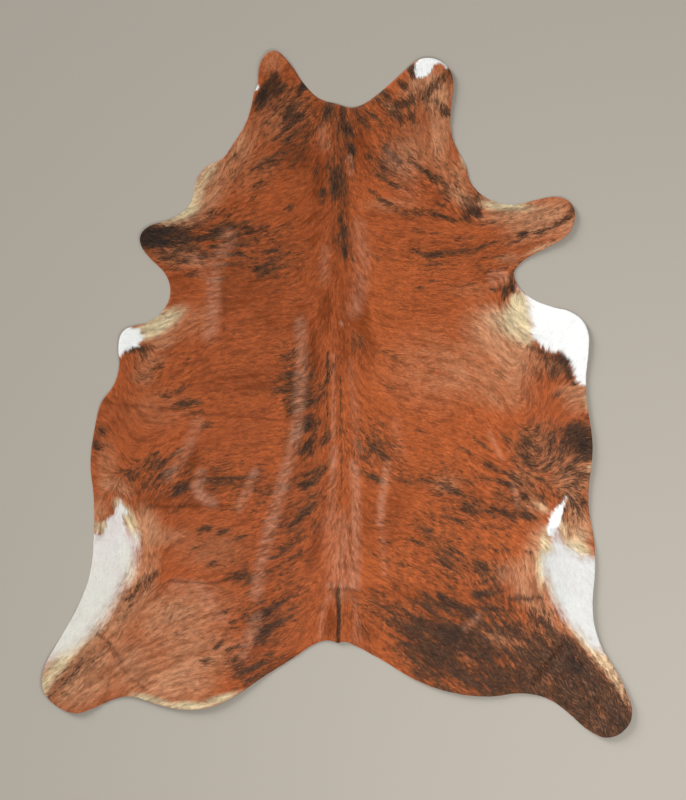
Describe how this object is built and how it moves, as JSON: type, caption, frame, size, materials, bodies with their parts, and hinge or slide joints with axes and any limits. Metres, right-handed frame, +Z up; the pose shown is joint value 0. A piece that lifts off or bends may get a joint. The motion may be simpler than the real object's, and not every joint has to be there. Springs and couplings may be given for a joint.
{
  "type": "cowhide rug",
  "caption": "Whole hair-on cowhide laid flat as a rug, brindle reddish brown with white flank patches, cheek lobes, forelegs, hind legs and low soft folds.",
  "frame": {"origin": "middle of the hide's bounding box, on the floor that it lies on", "axes": "+Y from the tail to the neck, +X to the right as the hair side is seen from above, +Z up out of the hair"},
  "size_m": [1.966, 2.29, 0.015],
  "materials": {
    "hair_on_hide": "short glossy brindle hair lying on tanned skin"
  },
  "bodies": {
    "root": {"hide": "hair_on_hide"}
  },
  "joints": []
}
